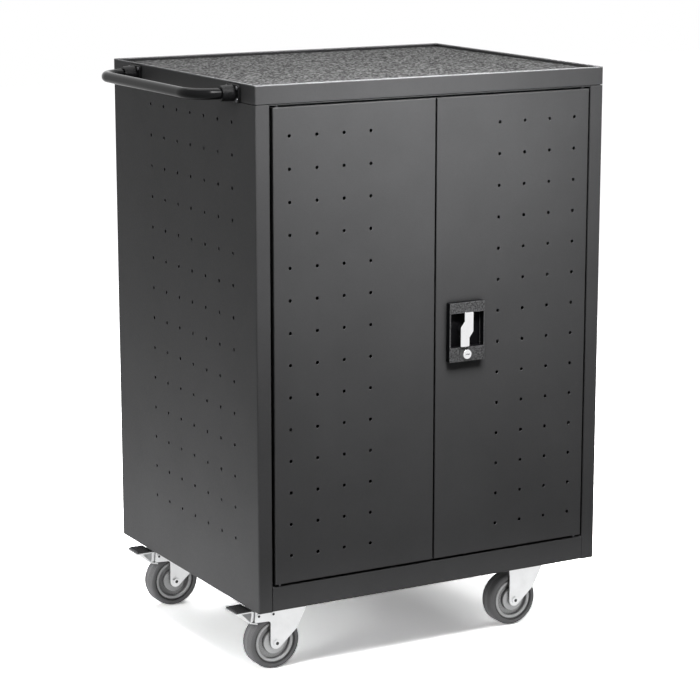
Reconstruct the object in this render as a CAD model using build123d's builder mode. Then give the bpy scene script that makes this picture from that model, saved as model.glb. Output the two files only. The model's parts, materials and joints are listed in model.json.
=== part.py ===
from build123d import *
from math import acos, atan2, cos, hypot, pi, radians, sin, tan
import os

# Laptop charging cart
# Frame: origin on the floor under the centre of the cabinet, +X to the right seen from the front doors,
# +Y towards the back, +Z up. Millimetres.

os.makedirs("parts", exist_ok=True)

# Cabinet
cabinet_width = 660.0
cabinet_depth = 541.0
cabinet_height = 861.0
caster_height = 119.0
sheet = 1.2
bend_radius = 2.5
stile_width = 25.5
stile_return = 18.0
top_flange = 20.0
rail_height = 42.0
rail_depth = 30.0
seam = 0.5
base_sheet = 2.0
header_height = 33.4
header_depth = 28.0
header_lip = 12.0
partition_setback = 395.0
partition_top_gap = 20.0
shelf_height = 419.0
shelf_setback = 36.0
shelf_lip = 15.0
cable_slot_height = 30.0
cable_slot_drop = 60.0
cable_slot_margin = 50.0

# Lid, mat and the joint between lid and cabinet
lid_height = 30.4
lid_wall = 2.5
lid_gap = 1.2
lid_bearing = 8.0
lid_step = 1.5
lid_edge_radius = 1.0
mat_thickness = 3.0
mat_recess = 6.0
mat_gap = 0.5

# Doors and their hinge pins
door_side_gap = 4.5
door_centre_gap = 3.0
door_bottom_gap = 3.6
door_top_gap = 5.6
door_depth = 20.0
door_proud = 2.0
door_edge_radius = 1.6
hinge_inset = 10.0
hinge_setback = 7.0
pin_radius = 2.5
pin_overlap = 8.0
running_gap = 0.06
rear_panel_height = 150.0

# Vent holes
vent_radius = 3.0
vent_rows = 14
vent_pitch_z = 52.87
door_vent_columns = 4
door_vent_pitch = 49.4
door_vent_edge = 29.0
door_vent_top = 46.0
side_vent_columns = 7
side_vent_pitch = 51.05
side_vent_front = 82.5
side_vent_top = 33.5

# Device slots
slots_per_level = 12
divider_thickness = 1.0
divider_height = 340.0
divider_foot = 12.0
divider_margin = 5.0
divider_corner = 40.0

# Lock on the right door
plate_width = 68.5
plate_height = 100.5
plate_proud = 11.0
plate_edge_gap = 20.5
plate_centre_height = 434.0
plate_corner = 1.6
cup_width = 64.5
cup_height = 58.5
cup_depth = 14.0
cup_floor = 3.0
cup_scoop = 24.0
cup_shift_z = 3.2
lock_body_margin = 3.0
lever_shift_x = -2.6
lever_shift_z = 4.6
lever_arm_width = 17.2
lever_arm_offset = 3.7
lever_step_near = 4.0
lever_step_far = 14.0
lever_length = 58.0
lever_corner = 2.0
lever_thickness = 3.6
lever_gap = 0.5
lever_hub_radius = 9.0
shaft_radius = 6.0
tongue_length = 74.0
tongue_width = 16.0
tongue_thickness = 3.0
tongue_gap = 1.0
key_radius = 8.0
key_drop = 38.2
key_proud = 1.5
key_length = 21.0
key_barrel_radius = 5.0
key_shoulder = 1.0
keyway_width = 2.0
keyway_length = 8.0

# Rack and pinion that drives the locking rods
gear_module = 1.5
pinion_teeth = 13
tooth_addendum = 1.2
tooth_dedendum = 1.6
tooth_flank_angle = 20.0
tooth_backlash = 1.4
lever_turn = 90.0
rod_radius = 3.5
rod_setback = 14.5
rod_hole_radius = 5.0
rod_rest_drop = 1.5
guide_width = 14.0
guide_height = 14.0

# Push handle on the left side
handle_drop = 18.0
handle_reach = 70.0
handle_front_inset = 73.0
handle_rear_inset = 447.0
handle_tube_radius = 9.0
handle_tube_wall = 1.5
handle_bend_radius = 45.0
bracket_width = 46.0
bracket_height = 29.0
bracket_thickness = 4.0
bracket_edge_radius = 1.5
collar_radius = 13.5
collar_length = 21.0
handle_screw_spread_y = 35.0
handle_screw_spread_z = 19.0
handle_screw_radius = 1.5
handle_screw_head_radius = 3.2
handle_screw_head_height = 2.0

# Casters
caster_side_inset = 94.0
caster_front_inset = 70.0
caster_rear_inset = 80.0
caster_trail = 37.0
wheel_radius = 46.5
wheel_width = 32.0
tread_radius = 6.0
core_radius = 35.3
core_lip = 6.0
core_lip_width = 28.0
core_web_width = 13.0
core_bead_radius = 2.4
boss_radius = 20.0
boss_width = 29.0
boss_collar_radius = 9.0
wheel_side_gap = 2.5
axle_gap = 0.8
fork_thickness = 2.5
crown_thickness = 3.0
crown_gap = 1.0
race_radius = 26.0
race_height = 4.5
caster_plate_thickness = 2.5
caster_plate_length = 86.0
caster_plate_width = 66.0
bolt_spread_x = 68.0
bolt_spread_y = 48.0
bolt_radius = 4.0
bolt_head_radius = 6.5
bolt_head_height = 4.0
kingpin_radius = 5.0
kingpin_head_radius = 9.0
kingpin_head_height = 3.0
axle_radius = 4.0
axle_head_radius = 6.5
axle_head_height = 3.5
fork_toe_radius = 10.5
fork_bend_radius = 2.0
fork_nose_drop = 12.5
shoulder_rise = 21.0
groove_radius = 37.4
groove_width = 25.0

# Brake pedals of the two left casters
arm_reach = 40.0
arm_drop = 25.0
arm_rise = 1.2
arm_inner_radius = 5.0
pedal_pivot_x = 33.0
pedal_pivot_drop = 13.0
pedal_pin_radius = 2.5
stop_pin_x = 6.0
rivet_head_radius = 4.0
rivet_head_height = 1.5
pedal_plate = 2.0
pedal_width = 40.0
pedal_reach = 75.0
pedal_root_x = 44.0
pedal_knee_x = 47.0
pedal_knee_drop = 11.0
pedal_brace_x = 66.0
pedal_top_drop = 3.5
pedal_bend_radius = 3.0
pedal_cheek_gap = 2.0
cheek_radius = 6.0
shoe_gap = 1.4
shoe_angle = 42.0
pedal_pad_thickness = 3.0
pad_setback = 2.0
pad_grooves = 4
pad_groove_width = 1.6
pad_groove_depth = 1.0

# Power strips, inlet and fan
strip_length = 600.0
strip_height = 44.0
strip_depth = 38.0
strip_drop = 70.0
strip_outlet_shift = 22.0
strip_switch_inset = 22.0
outlet_spacing = 44.0
outlet_depth = 7.0
outlet_slot_width = 1.8
outlet_slot_height = 7.0
outlet_slot_spread = 12.7
outlet_ground_radius = 2.4
outlet_ground_drop = 8.5
switch_width = 14.0
switch_height = 21.0
switch_pocket = 8.0
switch_side_gap = 0.8
switch_tilt = 7.0
rocker_pivot_depth = 1.0
rocker_depth = 5.0
rocker_crest = 2.5
rocker_valley = 1.2
inlet_width = 30.0
inlet_height = 23.0
inlet_depth = 25.0
inlet_flange = 3.0
inlet_flange_thickness = 1.6
inlet_mouth_width = 24.0
inlet_mouth_height = 16.5
inlet_mouth_depth = 18.0
inlet_side_inset = 110.0
inlet_pin_length = 12.0
inlet_pin_spread = 7.0
inlet_pin_width = 2.0
inlet_pin_height = 4.0
fan_size = 120.0
fan_depth = 25.0
fan_bore_radius = 57.0
fan_motor_radius = 20.0
fan_motor_height = 4.0
fan_strut = 5.0
fan_hub_radius = 19.0
fan_hub_gap = 1.0
fan_blade_radius = 54.5
fan_blades = 7
fan_blade_thickness = 1.6
fan_blade_pitch = 35.0
fan_blade_width = 24.0
fan_stub_radius = 2.5
fan_stub_length = 12.0
fan_screw_head = 2.0
guard_bar = 2.2
guard_rings = 4
guard_ring_spacing = 12.0
guard_ear_radius = 4.0
fan_bolt_spread = 105.0
fan_bolt_radius = 2.1

# Rear lock
rear_lock_radius = 9.5
rear_lock_edge = 28.0
rear_lock_proud = 3.0
rear_tongue_length = 46.0
rear_tongue_width = 14.0

# Places that follow from the sizes above
left = -cabinet_width / 2
right = cabinet_width / 2
front = -cabinet_depth / 2
back = cabinet_depth / 2
base_z = caster_height
top_z = base_z + cabinet_height
lid_z = top_z - lid_height
shell_z = lid_z - lid_gap
rail_z = base_z + rail_height
inner_width = cabinet_width - 2 * sheet
mat_z = top_z - mat_recess - mat_thickness
door_low = rail_z + door_bottom_gap
door_high = lid_z - door_top_gap
door_outer = cabinet_width / 2 - stile_width - door_side_gap
door_inner = door_centre_gap / 2
door_face_y = front - door_proud
door_back_y = door_face_y + door_depth
rear_door_high = shell_z - rear_panel_height - door_bottom_gap
rear_face_y = back + door_proud
shelf_z = base_z + shelf_height
partition_y = front + partition_setback
shelf_front_y = front + shelf_setback


# Cabinet shell


def side_panel(side):
    """Perforated side sheet, folded round both corners into the stiles, with a flange at the top."""
    wall_x = side * cabinet_width / 2
    centre_x = side * (cabinet_width - stile_width) / 2
    return_x = side * (cabinet_width / 2 - stile_width)
    with BuildPart() as panel:
        with BuildSketch(Plane.XY.offset(base_z)):
            with Locations((centre_x, 0)):
                RectangleRounded(stile_width, cabinet_depth, bend_radius)
                RectangleRounded(
                    stile_width - 2 * sheet,
                    cabinet_depth - 2 * sheet,
                    bend_radius - sheet,
                    mode=Mode.SUBTRACT,
                )
            with Locations((return_x, 0)):
                Rectangle(4 * sheet, cabinet_depth - 2 * stile_return, mode=Mode.SUBTRACT)
        extrude(amount=shell_z - base_z)
        with BuildSketch(Plane.XY.offset(shell_z - sheet)):
            with Locations((wall_x - side * (sheet + top_flange) / 2, 0)):
                Rectangle(top_flange - sheet, cabinet_depth - 2 * stile_return)
        extrude(amount=sheet)
        first_y = front + side_vent_front
        middle_y = first_y + (side_vent_columns - 1) * side_vent_pitch / 2
        middle_z = shell_z - side_vent_top - (vent_rows - 1) * vent_pitch_z / 2
        with BuildSketch(Plane.YZ.offset(wall_x)):
            with Locations((middle_y, middle_z)):
                with GridLocations(side_vent_pitch, vent_pitch_z, side_vent_columns, vent_rows):
                    Circle(vent_radius)
        extrude(amount=2 * sheet, both=True, mode=Mode.SUBTRACT)
    return panel


left_side_panel = side_panel(-1)
left_side_panel.part.label = "left_side_panel"
export_step(left_side_panel.part, "parts/left_side_panel.step")

right_side_panel = side_panel(1)
right_side_panel.part.label = "right_side_panel"
export_step(right_side_panel.part, "parts/right_side_panel.step")

# Base pan between the bottom rails, drilled for the caster bolts
caster_spots = {
    "fl": (left + caster_side_inset, front + caster_front_inset),
    "fr": (right - caster_side_inset, front + caster_front_inset),
    "rl": (left + caster_side_inset, back - caster_rear_inset),
    "rr": (right - caster_side_inset, back - caster_rear_inset),
}
deck_depth = cabinet_depth - 2 * rail_depth

with BuildPart() as base_pan:
    with Locations((0, 0, base_z + base_sheet / 2)):
        Box(inner_width, deck_depth, base_sheet)
    with BuildSketch(Plane.XY.offset(base_z)):
        with Locations(*caster_spots.values()):
            with GridLocations(bolt_spread_x, bolt_spread_y, 2, 2):
                Circle(bolt_radius)
    extrude(amount=base_sheet, mode=Mode.SUBTRACT)
base_pan.part.label = "base_pan"
export_step(base_pan.part, "parts/base_pan.step")

# Bottom deck: floor of the device bay, with turned-down sides that stand on the base pan
deck_leg = rail_height - sheet - base_sheet

with BuildPart() as bottom_deck:
    with Locations((0, 0, rail_z - sheet / 2)):
        Box(inner_width, deck_depth, sheet)
    leg_z = base_z + base_sheet + deck_leg / 2
    leg_x = (inner_width - sheet) / 2
    with Locations((-leg_x, 0, leg_z), (leg_x, 0, leg_z)):
        Box(sheet, deck_depth, deck_leg)
bottom_deck.part.label = "bottom_deck"
export_step(bottom_deck.part, "parts/bottom_deck.step")


# Bottom rails: channels between the stiles, open towards the inside


def bottom_rail(facing):
    """Channel with its web outside; facing is -1 for the front rail and 1 for the rear one."""
    length = cabinet_width - 2 * stile_width - 2 * seam
    web_y = facing * cabinet_depth / 2
    inward = Vector(0, -facing, 0)
    plane = Plane(origin=(facing * length / 2, web_y, base_z), x_dir=inward, z_dir=(-facing, 0, 0))
    with BuildPart() as rail:
        with BuildSketch(plane) as profile:
            Rectangle(rail_depth, rail_height, align=(Align.MIN, Align.MIN))
            fillet(profile.vertices().group_by(Axis.X)[0], bend_radius)
            with Locations((sheet, sheet)):
                Rectangle(
                    rail_depth,
                    rail_height - 2 * sheet,
                    align=(Align.MIN, Align.MIN),
                    mode=Mode.SUBTRACT,
                )
        extrude(amount=length)
    return rail.part


hinge_x = door_outer - hinge_inset
front_hinge_y = door_face_y + hinge_setback
rear_hinge_y = rear_face_y - hinge_setback
pitch_radius = gear_module * pinion_teeth / 2
lever_x = door_inner + plate_edge_gap + plate_width / 2 + lever_shift_x
lever_z = base_z + plate_centre_height + lever_shift_z
rod_offset = pitch_radius + tooth_dedendum + rod_radius
rod_y = door_face_y + rod_setback
upper_rod_x = lever_x - rod_offset
lower_rod_x = lever_x + rod_offset

with BuildPart() as front_bottom_rail:
    add(bottom_rail(-1))
    with BuildSketch(Plane.XY.offset(rail_z)):
        with Locations((-hinge_x, front_hinge_y), (hinge_x, front_hinge_y)):
            Circle(pin_radius)
        with Locations((lower_rod_x, rod_y)):
            Circle(rod_hole_radius)
    extrude(amount=-sheet, mode=Mode.SUBTRACT)
front_bottom_rail.part.label = "front_bottom_rail"
export_step(front_bottom_rail.part, "parts/front_bottom_rail.step")

inlet_x = right - inlet_side_inset
inlet_z = base_z + rail_height / 2

with BuildPart() as rear_bottom_rail:
    add(bottom_rail(1))
    with BuildSketch(Plane.XY.offset(rail_z)):
        with Locations((hinge_x, rear_hinge_y)):
            Circle(pin_radius)
    extrude(amount=-sheet, mode=Mode.SUBTRACT)
    with Locations((inlet_x, back - sheet / 2, inlet_z)):
        Box(inlet_width, 2 * sheet, inlet_height, mode=Mode.SUBTRACT)
rear_bottom_rail.part.label = "rear_bottom_rail"
export_step(rear_bottom_rail.part, "parts/rear_bottom_rail.step")

# Front header behind the top of the doors, with the flange that holds the upper hinge pins
header_back_y = front + header_depth
header_low = shell_z - header_height

with BuildPart() as front_header:
    flange_length = header_depth - sheet
    with Locations((0, front + sheet + flange_length / 2, shell_z - sheet / 2)):
        Box(cabinet_width - 2 * stile_width - 2 * seam, flange_length, sheet)
    with Locations((0, header_back_y - sheet / 2, shell_z - header_height / 2)):
        Box(inner_width - 2 * top_flange, sheet, header_height)
    with Locations((0, header_back_y - sheet / 2, shell_z - sheet - (header_height - sheet) / 2)):
        Box(inner_width, sheet, header_height - sheet)
    with Locations((0, header_back_y + header_lip / 2, header_low + sheet / 2)):
        Box(inner_width, header_lip, sheet)
    with BuildSketch(Plane.XY.offset(shell_z)):
        with Locations((-hinge_x, front_hinge_y), (hinge_x, front_hinge_y)):
            Circle(pin_radius)
        with Locations((upper_rod_x, rod_y)):
            Circle(rod_hole_radius)
    extrude(amount=-sheet, mode=Mode.SUBTRACT)
front_header.part.label = "front_header"
export_step(front_header.part, "parts/front_header.step")

# Rear top panel: a pan above the rear door, with the opening for the fan
rear_panel_width = cabinet_width - 2 * stile_width - 2 * seam
rear_panel_z = shell_z - rear_panel_height / 2
rear_panel_low = shell_z - rear_panel_height

with BuildPart() as rear_top_panel:
    with Locations((0, back - rail_depth / 2, rear_panel_z)):
        Box(rear_panel_width, rail_depth, rear_panel_height)
    with Locations((0, back - sheet - rail_depth / 2, rear_panel_z)):
        Box(rear_panel_width, rail_depth, rear_panel_height - 2 * sheet, mode=Mode.SUBTRACT)
    with BuildSketch(Plane.XZ.offset(-back)):
        with Locations((0, rear_panel_z)):
            Circle(fan_bore_radius)
            with GridLocations(fan_bolt_spread, fan_bolt_spread, 2, 2):
                Circle(fan_bolt_radius)
    extrude(amount=2 * sheet, both=True, mode=Mode.SUBTRACT)
    with BuildSketch(Plane.XY.offset(rear_panel_low)):
        with Locations((hinge_x, rear_hinge_y)):
            Circle(pin_radius)
    extrude(amount=sheet, mode=Mode.SUBTRACT)
rear_top_panel.part.label = "rear_top_panel"
export_step(rear_top_panel.part, "parts/rear_top_panel.step")

# Partition between the device bay and the power bay, with a cable slot at the top of each level
partition_high = shell_z - partition_top_gap
cable_slot_width = inner_width - 2 * cable_slot_margin
cable_slot_zs = [shelf_z - cable_slot_drop, header_low - cable_slot_drop]

with BuildPart() as partition:
    with Locations((0, partition_y + sheet / 2, (rail_z + partition_high) / 2)):
        Box(inner_width, sheet, partition_high - rail_z)
    with BuildSketch(Plane.XZ.offset(-partition_y)):
        with Locations(*[(0, z) for z in cable_slot_zs]):
            SlotOverall(cable_slot_width, cable_slot_height)
    extrude(amount=2 * sheet, both=True, mode=Mode.SUBTRACT)
partition.part.label = "partition"
export_step(partition.part, "parts/partition.step")

# Middle shelf with a turned-down front lip
shelf_depth = partition_y - shelf_front_y

with BuildPart() as middle_shelf:
    with Locations((0, shelf_front_y + shelf_depth / 2, shelf_z - sheet / 2)):
        Box(inner_width, shelf_depth, sheet)
    with Locations((0, shelf_front_y + sheet / 2, shelf_z - shelf_lip / 2)):
        Box(inner_width, sheet, shelf_lip)
middle_shelf.part.label = "middle_shelf"
export_step(middle_shelf.part, "parts/middle_shelf.step")


# Slot dividers: upright plates with a foot, standing on the deck and on the shelf


slot_pitch = inner_width / slots_per_level
divider_depth = shelf_depth - 2 * divider_margin
divider_front_y = shelf_front_y + divider_margin


def divider_set(floor_z):
    """One level of dividers, each a plate with a rounded front corner and a foot to its right."""
    with BuildPart() as dividers:
        with BuildSketch(Plane.YZ.offset(-divider_thickness / 2)) as outline:
            with Locations((divider_front_y, floor_z)):
                Rectangle(divider_depth, divider_height, align=(Align.MIN, Align.MIN))
            fillet(outline.vertices().group_by(Axis.Y)[-1].sort_by(Axis.X)[0], divider_corner)
        plate = extrude(amount=divider_thickness, mode=Mode.PRIVATE)
        foot = Box(
            divider_foot,
            divider_depth,
            sheet,
            align=(Align.MIN, Align.MIN, Align.MIN),
            mode=Mode.PRIVATE,
        )
        foot = Pos(divider_thickness / 2, divider_front_y, floor_z) * foot
        with GridLocations(slot_pitch, 1, slots_per_level - 1, 1):
            add(plate)
            add(foot)
    return dividers


lower_dividers = divider_set(rail_z)
lower_dividers.part.label = "lower_dividers"
export_step(lower_dividers.part, "parts/lower_dividers.step")

upper_dividers = divider_set(shelf_z)
upper_dividers.part.label = "upper_dividers"
export_step(upper_dividers.part, "parts/upper_dividers.step")

# Lid: a tray with a raised rim, a plate under the mat and a stepped flange that rests on the cabinet
lid_inner_width = cabinet_width - 2 * lid_wall
lid_inner_depth = cabinet_depth - 2 * lid_wall
bearing_width = cabinet_width - 2 * lid_bearing
bearing_depth = cabinet_depth - 2 * lid_bearing
handle_z = top_z - handle_drop
handle_ys = [front + handle_front_inset, front + handle_rear_inset]

with BuildPart() as top_lid:
    with BuildSketch(Plane.XY.offset(lid_z)):
        RectangleRounded(cabinet_width, cabinet_depth, bend_radius)
        Rectangle(lid_inner_width, lid_inner_depth, mode=Mode.SUBTRACT)
    extrude(amount=lid_height)
    with Locations((0, 0, mat_z - sheet / 2)):
        Box(lid_inner_width, lid_inner_depth, sheet)
    with BuildSketch(Plane.XY.offset(lid_z)):
        Rectangle(lid_inner_width, lid_inner_depth)
        Rectangle(bearing_width, bearing_depth, mode=Mode.SUBTRACT)
    extrude(amount=sheet)
    with BuildSketch(Plane.XY.offset(shell_z)):
        Rectangle(lid_inner_width - 2 * lid_step, lid_inner_depth - 2 * lid_step)
        Rectangle(bearing_width, bearing_depth, mode=Mode.SUBTRACT)
    extrude(amount=lid_gap)
    fillet(top_lid.faces().sort_by(Axis.Z)[-1].edges(), lid_edge_radius)
    with BuildSketch(Plane.YZ.offset(left)):
        with Locations(*[(y, handle_z) for y in handle_ys]):
            with GridLocations(handle_screw_spread_y, handle_screw_spread_z, 2, 2):
                Circle(handle_screw_radius)
    extrude(amount=lid_wall, mode=Mode.SUBTRACT)
top_lid.part.label = "top_lid"
export_step(top_lid.part, "parts/top_lid.step")

with BuildPart() as top_mat:
    with Locations((0, 0, mat_z + mat_thickness / 2)):
        Box(lid_inner_width - 2 * mat_gap, lid_inner_depth - 2 * mat_gap, mat_thickness)
top_mat.part.label = "top_mat"
export_step(top_mat.part, "parts/top_mat.step")

# Push handle: bent tube, its two brackets and their screws
bracket_face_x = left - bracket_thickness

with BuildPart() as push_handle:
    with BuildLine() as handle_route:
        FilletPolyline(
            (bracket_face_x, handle_ys[0], handle_z),
            (left - handle_reach, handle_ys[0], handle_z),
            (left - handle_reach, handle_ys[1], handle_z),
            (bracket_face_x, handle_ys[1], handle_z),
            radius=handle_bend_radius,
        )
    with BuildSketch(Plane(origin=handle_route.line @ 0, z_dir=handle_route.line % 0)):
        Circle(handle_tube_radius)
        Circle(handle_tube_radius - handle_tube_wall, mode=Mode.SUBTRACT)
    sweep()
push_handle.part.label = "push_handle"
export_step(push_handle.part, "parts/push_handle.step")

with BuildPart() as handle_brackets:
    for arm_y in handle_ys:
        with BuildSketch(Plane(origin=(left, arm_y, handle_z), x_dir=(0, 1, 0), z_dir=(-1, 0, 0))):
            RectangleRounded(bracket_width, bracket_height, 3 * bracket_edge_radius)
        extrude(amount=bracket_thickness)
        with BuildSketch(Plane(origin=(bracket_face_x, arm_y, handle_z), x_dir=(0, 1, 0), z_dir=(-1, 0, 0))):
            Circle(collar_radius)
        extrude(amount=collar_length, taper=3)
        with BuildSketch(Plane(origin=(bracket_face_x, arm_y, handle_z), x_dir=(0, 1, 0), z_dir=(-1, 0, 0))):
            Circle(handle_tube_radius)
        extrude(amount=collar_length, mode=Mode.SUBTRACT)
        with BuildSketch(Plane(origin=(left, arm_y, handle_z), x_dir=(0, 1, 0), z_dir=(-1, 0, 0))):
            with GridLocations(handle_screw_spread_y, handle_screw_spread_z, 2, 2):
                Circle(handle_screw_radius)
        extrude(amount=bracket_thickness, mode=Mode.SUBTRACT)
    outer_faces = handle_brackets.faces().filter_by(Axis.X).group_by(Axis.X)[1]
    fillet(outer_faces.edges().filter_by(GeomType.LINE), bracket_edge_radius / 2)
handle_brackets.part.label = "handle_brackets"
export_step(handle_brackets.part, "parts/handle_brackets.step")

with BuildPart() as handle_screws:
    for arm_y in handle_ys:
        with BuildSketch(Plane(origin=(left + lid_wall, arm_y, handle_z), x_dir=(0, 1, 0), z_dir=(-1, 0, 0))):
            with GridLocations(handle_screw_spread_y, handle_screw_spread_z, 2, 2):
                Circle(handle_screw_radius)
        extrude(amount=lid_wall + bracket_thickness)
        with BuildSketch(Plane(origin=(bracket_face_x, arm_y, handle_z), x_dir=(0, 1, 0), z_dir=(-1, 0, 0))):
            with GridLocations(handle_screw_spread_y, handle_screw_spread_z, 2, 2):
                Circle(handle_screw_head_radius)
        extrude(amount=handle_screw_head_height)
    fillet(handle_screws.faces().sort_by(Axis.X)[:8].edges(), handle_screw_head_height / 2)
handle_screws.part.label = "handle_screws"
export_step(handle_screws.part, "parts/handle_screws.step")

# Hinge pins: fixed in the rails, the header and the rear top panel, free in the doors' flanges
lower_pin_length = 2 * pin_overlap + door_bottom_gap
front_upper_pin_low = door_high - pin_overlap
rear_upper_pin_low = rear_door_high - pin_overlap

with BuildPart() as hinge_pins:
    with Locations(
        (-hinge_x, front_hinge_y, rail_z - pin_overlap),
        (hinge_x, front_hinge_y, rail_z - pin_overlap),
        (hinge_x, rear_hinge_y, rail_z - pin_overlap),
    ):
        Cylinder(pin_radius, lower_pin_length, align=(Align.CENTER, Align.CENTER, Align.MIN))
    with Locations(
        (-hinge_x, front_hinge_y, front_upper_pin_low),
        (hinge_x, front_hinge_y, front_upper_pin_low),
    ):
        Cylinder(pin_radius, shell_z - front_upper_pin_low, align=(Align.CENTER, Align.CENTER, Align.MIN))
    with Locations((hinge_x, rear_hinge_y, rear_upper_pin_low)):
        Cylinder(pin_radius, lower_pin_length, align=(Align.CENTER, Align.CENTER, Align.MIN))
hinge_pins.part.label = "hinge_pins"
export_step(hinge_pins.part, "parts/hinge_pins.step")


# Doors


def door_pan(low_x, high_x, low_z, high_z, facing, pin_x):
    """Folded pan with its face outside (facing -1 is the front) and pin holes in both end flanges."""
    face_y = facing * (cabinet_depth / 2 + door_proud)
    width = high_x - low_x
    height = high_z - low_z
    centre_x = (low_x + high_x) / 2
    centre_z = (low_z + high_z) / 2
    with BuildPart() as pan:
        with Locations((centre_x, face_y - facing * door_depth / 2, centre_z)):
            Box(width, door_depth, height)
        face = pan.faces().sort_by(Axis.Y)[0 if facing < 0 else -1]
        fillet(face.edges(), door_edge_radius)
        with Locations((centre_x, face_y - facing * (door_depth + sheet) / 2, centre_z)):
            Box(width - 2 * sheet, door_depth - sheet, height - 2 * sheet, mode=Mode.SUBTRACT)
        with BuildSketch(Plane.XY.offset(low_z)):
            with Locations((pin_x, face_y - facing * hinge_setback)):
                Circle(pin_radius + running_gap)
        extrude(amount=height, mode=Mode.SUBTRACT)
    return pan.part


# Vent holes lie on the same grid in both front doors, counted from the hinge side
vent_middle_x = door_outer - door_vent_edge - (door_vent_columns - 1) * door_vent_pitch / 2
vent_middle_z = door_high - door_vent_top - (vent_rows - 1) * vent_pitch_z / 2

with BuildPart() as left_door_panel:
    add(door_pan(-door_outer, -door_inner, door_low, door_high, -1, -hinge_x))
    with BuildSketch(Plane.XZ.offset(-door_face_y)):
        with Locations((-vent_middle_x, vent_middle_z)):
            with GridLocations(door_vent_pitch, vent_pitch_z, door_vent_columns, vent_rows):
                Circle(vent_radius)
    extrude(amount=2 * sheet, both=True, mode=Mode.SUBTRACT)
left_door_panel.part.label = "left_door_panel"
export_step(left_door_panel.part, "parts/left_door_panel.step")

plate_x = door_inner + plate_edge_gap + plate_width / 2
plate_z = base_z + plate_centre_height
plate_face_y = door_face_y - plate_proud
lock_body_width = plate_width - 2 * lock_body_margin
lock_body_height = plate_height - 2 * lock_body_margin
lock_body_depth = cup_depth + cup_floor - plate_proud

with BuildPart() as right_door_panel:
    add(door_pan(door_inner, door_outer, door_low, door_high, -1, hinge_x))
    with BuildSketch(Plane.XZ.offset(-door_face_y)):
        with Locations((vent_middle_x, vent_middle_z)):
            with GridLocations(door_vent_pitch, vent_pitch_z, door_vent_columns, vent_rows):
                Circle(vent_radius)
    extrude(amount=2 * sheet, both=True, mode=Mode.SUBTRACT)
    with Locations((plate_x, door_face_y, plate_z)):
        Box(lock_body_width, 4 * sheet, lock_body_height, mode=Mode.SUBTRACT)
    with BuildSketch(Plane.XY.offset(door_high)):
        with Locations((upper_rod_x, rod_y)):
            Circle(rod_hole_radius)
    extrude(amount=-sheet, mode=Mode.SUBTRACT)
    with BuildSketch(Plane.XY.offset(door_low)):
        with Locations((lower_rod_x, rod_y)):
            Circle(rod_hole_radius)
    extrude(amount=sheet, mode=Mode.SUBTRACT)
right_door_panel.part.label = "right_door_panel"
export_step(right_door_panel.part, "parts/right_door_panel.step")

rear_lock_x = -door_outer + rear_lock_edge
rear_lock_z = (door_low + rear_door_high) / 2

with BuildPart() as rear_door_panel:
    add(door_pan(-door_outer, door_outer, door_low, rear_door_high, 1, hinge_x))
    with BuildSketch(Plane.XZ.offset(-rear_face_y)):
        with Locations((rear_lock_x, rear_lock_z)):
            Circle(rear_lock_radius + running_gap)
    extrude(amount=2 * sheet, both=True, mode=Mode.SUBTRACT)
rear_door_panel.part.label = "rear_door_panel"
export_step(rear_door_panel.part, "parts/rear_door_panel.step")

# Lock case: plate with a recessed cup for the fingers, and the body that passes through the door
cup_left = plate_x - cup_width / 2
cup_right = plate_x + cup_width / 2
cup_z = plate_z + cup_shift_z
cup_floor_y = plate_face_y + cup_depth
key_z = plate_z - key_drop

with BuildPart() as lock_case:
    with BuildSketch(Plane.XZ.offset(-door_face_y)):
        with Locations((plate_x, plate_z)):
            RectangleRounded(plate_width, plate_height, plate_corner)
    extrude(amount=plate_proud)
    fillet(lock_case.faces().sort_by(Axis.Y)[0].edges(), plate_corner / 2)
    with Locations((plate_x, door_face_y + lock_body_depth / 2, plate_z)):
        Box(lock_body_width, lock_body_depth, lock_body_height)
    with BuildSketch(Plane.XY.offset(cup_z - cup_height / 2)):
        with BuildLine():
            Spline((cup_left, plate_face_y), (cup_left + cup_scoop, cup_floor_y), tangents=[(0, 1), (1, 0)])
            Polyline(
                (cup_left, plate_face_y),
                (cup_right, plate_face_y),
                (cup_right, cup_floor_y),
                (cup_left + cup_scoop, cup_floor_y),
            )
        make_face()
    extrude(amount=cup_height, mode=Mode.SUBTRACT)
    with BuildSketch(Plane.XZ.offset(-plate_face_y)):
        with Locations((lever_x, lever_z)):
            Circle(shaft_radius + running_gap)
        with Locations((plate_x, key_z)):
            Circle(key_barrel_radius + running_gap)
    extrude(amount=-2 * plate_height, mode=Mode.SUBTRACT)
    with BuildSketch(Plane.XZ.offset(-plate_face_y)):
        with Locations((plate_x, key_z)):
            Circle(key_radius + running_gap)
    extrude(amount=-(plate_proud - key_shoulder), mode=Mode.SUBTRACT)
lock_case.part.label = "lock_case"
export_step(lock_case.part, "parts/lock_case.step")

# Lever: two offset arms on a hub, with the shaft that carries the pinion and the tongue
lever_back_y = plate_face_y - lever_gap
tongue_front_y = door_back_y + tongue_gap
tongue_back_y = tongue_front_y + tongue_thickness

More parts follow.
